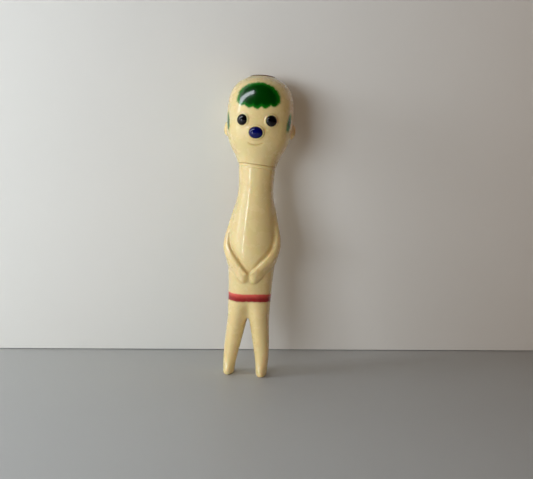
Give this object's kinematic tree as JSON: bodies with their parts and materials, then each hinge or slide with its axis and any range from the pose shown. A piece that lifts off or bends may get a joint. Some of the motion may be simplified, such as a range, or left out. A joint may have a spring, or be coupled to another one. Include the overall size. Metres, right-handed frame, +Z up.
{
  "type": "soft vinyl figure",
  "caption": "Slender hollow soft vinyl doll that stands by itself, with a turning head, bead eyes and nose, hands joined in front, small flat feet and a plugged crown.",
  "frame": {"origin": "on the floor, at the bottom centre of the figure's bounding box, between the two soles", "axes": "+Z up along the figure's height; -Y the way the face looks; +X to the figure's own left, which is the viewer's right"},
  "size_m": [0.0672, 0.0637, 0.28],
  "materials": {
    "vinyl_skin": "glossy cream soft vinyl, with sprayed green and red paint",
    "inner_plastic": "plain unpainted inner plastic",
    "plug_vinyl": "satin dark brown",
    "eye_gloss": "high gloss black",
    "nose_gloss": "high gloss dark blue"
  },
  "bodies": {
    "body": {"body_shell": "vinyl_skin", "neck_spool": "inner_plastic"},
    "head": {"head_shell": "vinyl_skin", "crown_plug": "plug_vinyl", "left_eye": "eye_gloss", "right_eye": "eye_gloss", "nose_button": "nose_gloss", "left_eye_washer": "inner_plastic", "right_eye_washer": "inner_plastic", "nose_washer": "inner_plastic"}
  },
  "joints": [
    {"name": "head_turn", "type": "hinge", "parent": "body", "child": "head", "pos_m": [0, 0, 0.198], "axis": [0.0698, 0, 0.9976], "continuous": true}
  ]
}
